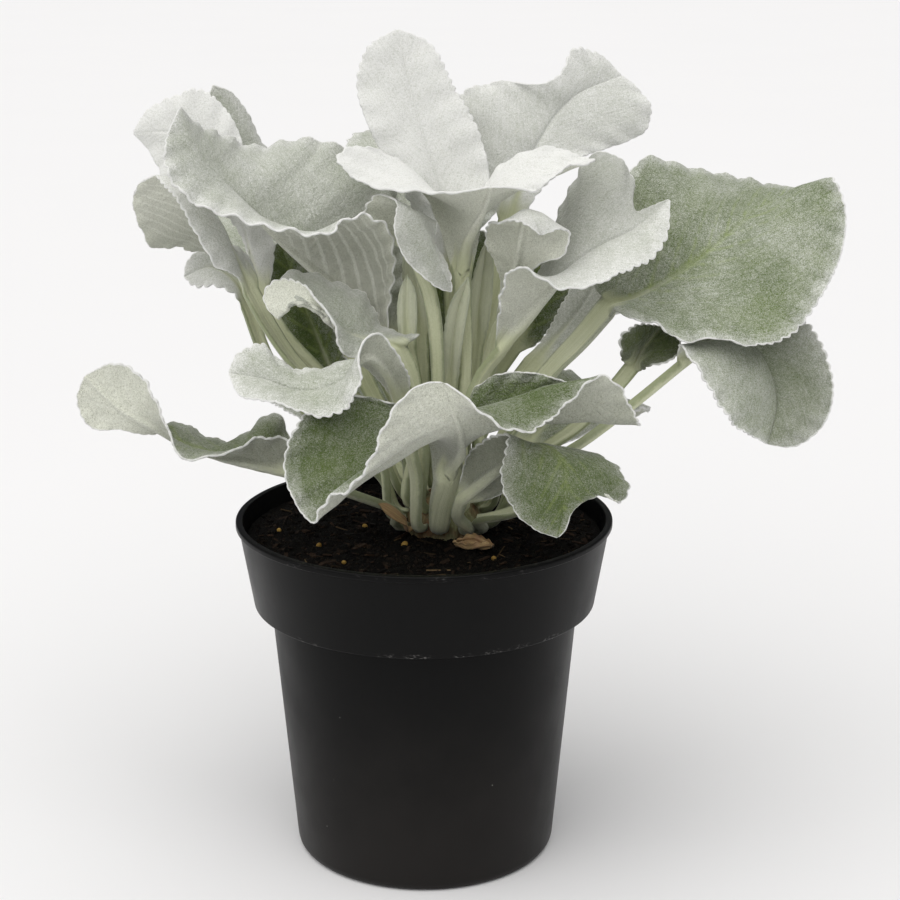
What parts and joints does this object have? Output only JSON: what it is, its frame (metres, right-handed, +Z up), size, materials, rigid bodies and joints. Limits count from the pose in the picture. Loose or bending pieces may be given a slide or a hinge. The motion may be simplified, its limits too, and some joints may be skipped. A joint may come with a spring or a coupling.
{
  "type": "potted foliage plant",
  "caption": "Potted angel wings senecio: a rosette of broad felted silver leaves with wavy toothed edges on long stalks, rising from potting mix in a round black nursery pot.",
  "frame": {"origin": "centre of the pot's flat underside, on the pot's axis", "axes": "+Z up along the pot's axis, +X to the right and -Y to the front as the plant is seen from its best side"},
  "size_m": [0.3756, 0.2506, 0.4141],
  "materials": {
    "pot_plastic": "satin",
    "potting_mix": "matte",
    "crown_skin": "matte",
    "felted_leaf": "matte",
    "dry_leaf": "matte"
  },
  "bodies": {
    "root": {"nursery_pot": "pot_plastic", "potting_mix": "potting_mix", "crown": "crown_skin", "leaf_spoon": "felted_leaf", "leaf_cup": "felted_leaf", "leaf_back_right": "felted_leaf", "leaf_mid_right": "felted_leaf", "leaf_big_right": "felted_leaf", "leaf_droop_right": "felted_leaf", "leaf_curl_right": "felted_leaf", "leaf_tongue": "felted_leaf", "leaf_big_left": "felted_leaf", "leaf_left_shade": "felted_leaf", "leaf_top_left": "felted_leaf", "leaf_back_left": "felted_leaf", "leaf_left_back": "felted_leaf", "leaf_inner_left": "felted_leaf", "leaf_wave_upper": "felted_leaf", "leaf_wave_lower": "felted_leaf", "leaf_front": "felted_leaf", "leaf_front_right": "felted_leaf", "leaf_low_left": "felted_leaf", "leaf_right_inner": "felted_leaf", "leaf_small_right": "felted_leaf", "leaf_low_right": "felted_leaf", "leaf_young_front": "felted_leaf", "leaf_young_right": "felted_leaf", "leaf_young_left": "felted_leaf", "leaf_young_middle": "felted_leaf", "leaf_inner_back": "felted_leaf", "leaf_inner_right": "felted_leaf", "leaf_rear_left": "felted_leaf", "leaf_rear": "felted_leaf", "leaf_rear_right": "felted_leaf", "leaf_rear_low": "felted_leaf", "leaf_rear_low_right": "felted_leaf", "dry_stub": "dry_leaf", "dead_leaf": "dry_leaf"}
  },
  "joints": []
}
